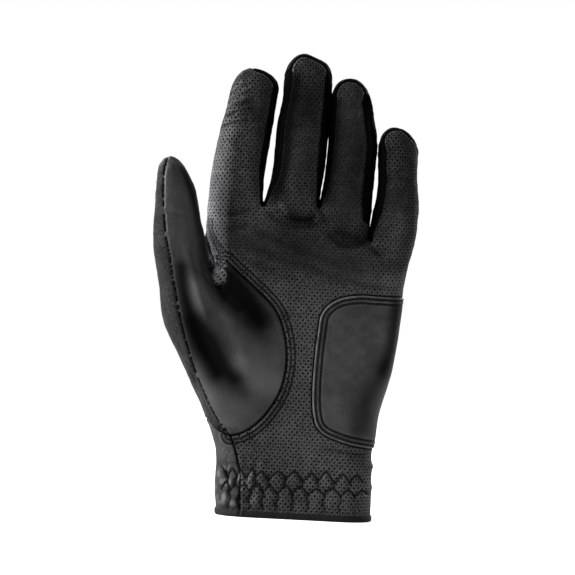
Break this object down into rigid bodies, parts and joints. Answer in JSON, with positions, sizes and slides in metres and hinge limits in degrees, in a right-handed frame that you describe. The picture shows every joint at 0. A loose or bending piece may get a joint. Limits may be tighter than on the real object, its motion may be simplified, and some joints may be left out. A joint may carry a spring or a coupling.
{
  "type": "golf glove",
  "caption": "Sewn leather glove for one hand: panelled hollow fingers and thumb that bend, elastic wrist, and a hook-and-loop tab over a slit in the back.",
  "frame": {"origin": "centre of the wrist opening, on the plane of the cuff rim", "axes": "+Z from the cuff to the fingertips, -Y out of the palm, +X towards the little finger (a left-hand glove)"},
  "size_m": [0.1313, 0.0503, 0.2322],
  "materials": {
    "perforated_leather": "perforated soft grain",
    "smooth_leather": "smooth satin",
    "stretch_fabric": "fine knit",
    "binding_tape": "folded woven tape",
    "elastic_tape": "ribbed elastic",
    "loop_tape": "napped loop",
    "hook_tape": "hooked",
    "thread": "twisted polyester"
  },
  "bodies": {
    "hand": {"palm_panel": "perforated_leather", "back_panel": "perforated_leather", "thumb_front_base": "smooth_leather", "thumb_back_base": "perforated_leather", "heel_patch": "smooth_leather", "wrist_elastic": "elastic_tape", "cuff_binding": "binding_tape", "cuff_facing": "binding_tape", "slit_binding": "binding_tape", "loop_patch": "loop_tape", "tab_anchor": "perforated_leather", "thumb_seam_thread": "thread", "heel_patch_thread": "thread", "cuff_zigzag_thread": "thread"},
    "thumb": {"thumb_front": "smooth_leather", "thumb_back": "perforated_leather"},
    "closure": {"closure_tab": "perforated_leather", "hook_patch": "hook_tape", "closure_tab_thread": "thread"},
    "index_lower": {"index_lower_front": "perforated_leather", "index_lower_back": "perforated_leather", "index_lower_right_fourchette": "stretch_fabric"},
    "index_upper": {"index_upper_front": "perforated_leather", "index_upper_back": "perforated_leather", "index_upper_right_fourchette": "stretch_fabric"},
    "middle_lower": {"middle_lower_front": "perforated_leather", "middle_lower_back": "perforated_leather", "middle_lower_left_fourchette": "stretch_fabric", "middle_lower_right_fourchette": "stretch_fabric"},
    "middle_upper": {"middle_upper_front": "perforated_leather", "middle_upper_back": "perforated_leather", "middle_upper_left_fourchette": "stretch_fabric", "middle_upper_right_fourchette": "stretch_fabric"},
    "ring_lower": {"ring_lower_front": "perforated_leather", "ring_lower_back": "perforated_leather", "ring_lower_left_fourchette": "stretch_fabric", "ring_lower_right_fourchette": "stretch_fabric"},
    "ring_upper": {"ring_upper_front": "perforated_leather", "ring_upper_back": "perforated_leather", "ring_upper_left_fourchette": "stretch_fabric", "ring_upper_right_fourchette": "stretch_fabric"},
    "little_lower": {"little_lower_front": "perforated_leather", "little_lower_back": "perforated_leather", "little_lower_left_fourchette": "stretch_fabric"},
    "little_upper": {"little_upper_front": "perforated_leather", "little_upper_back": "perforated_leather", "little_upper_left_fourchette": "stretch_fabric"}
  },
  "joints": [
    {"name": "index_knuckle", "type": "hinge", "parent": "hand", "child": "index_lower", "pos_m": [-0.03681, -0.0106, 0.15715], "axis": [1, 0, 0], "range_deg": [0, 75], "stiffness_Nm_per_rad": 0.02},
    {"name": "index_middle_joint", "type": "hinge", "parent": "index_lower", "child": "index_upper", "pos_m": [-0.03431, -0.01072, 0.186], "axis": [1, 0, 0], "range_deg": [0, 85], "stiffness_Nm_per_rad": 0.01},
    {"name": "middle_knuckle", "type": "hinge", "parent": "hand", "child": "middle_lower", "pos_m": [-0.00778, -0.0106, 0.15715], "axis": [1, 0, 0], "range_deg": [0, 75], "stiffness_Nm_per_rad": 0.02},
    {"name": "middle_middle_joint", "type": "hinge", "parent": "middle_lower", "child": "middle_upper", "pos_m": [-0.00541, -0.01072, 0.189], "axis": [1, 0, 0], "range_deg": [0, 85], "stiffness_Nm_per_rad": 0.01},
    {"name": "ring_knuckle", "type": "hinge", "parent": "hand", "child": "ring_lower", "pos_m": [0.01917, -0.01035, 0.15715], "axis": [1, 0, 0], "range_deg": [0, 75], "stiffness_Nm_per_rad": 0.02},
    {"name": "ring_middle_joint", "type": "hinge", "parent": "ring_lower", "child": "ring_upper", "pos_m": [0.02042, -0.0106, 0.184], "axis": [1, 0, 0], "range_deg": [0, 85], "stiffness_Nm_per_rad": 0.01},
    {"name": "little_knuckle", "type": "hinge", "parent": "hand", "child": "little_lower", "pos_m": [0.04341, -0.00941, 0.14115], "axis": [1, 0, 0], "range_deg": [0, 75], "stiffness_Nm_per_rad": 0.02},
    {"name": "little_middle_joint", "type": "hinge", "parent": "little_lower", "child": "little_upper", "pos_m": [0.04399, -0.00963, 0.166], "axis": [1, 0, 0], "range_deg": [0, 85], "stiffness_Nm_per_rad": 0.01},
    {"name": "thumb_fold", "type": "hinge", "parent": "hand", "child": "thumb", "pos_m": [-0.05913, -0.02891, 0.13015], "axis": [0.9456, 0.2437, 0.2153], "range_deg": [0, 35], "stiffness_Nm_per_rad": 0.02},
    {"name": "closure_tab_hinge", "type": "hinge", "parent": "hand", "child": "closure", "pos_m": [-0.008, 0.0204, 0.0215], "axis": [0, 0, 1], "range_deg": [0, 140], "stiffness_Nm_per_rad": 0.0005}
  ]
}
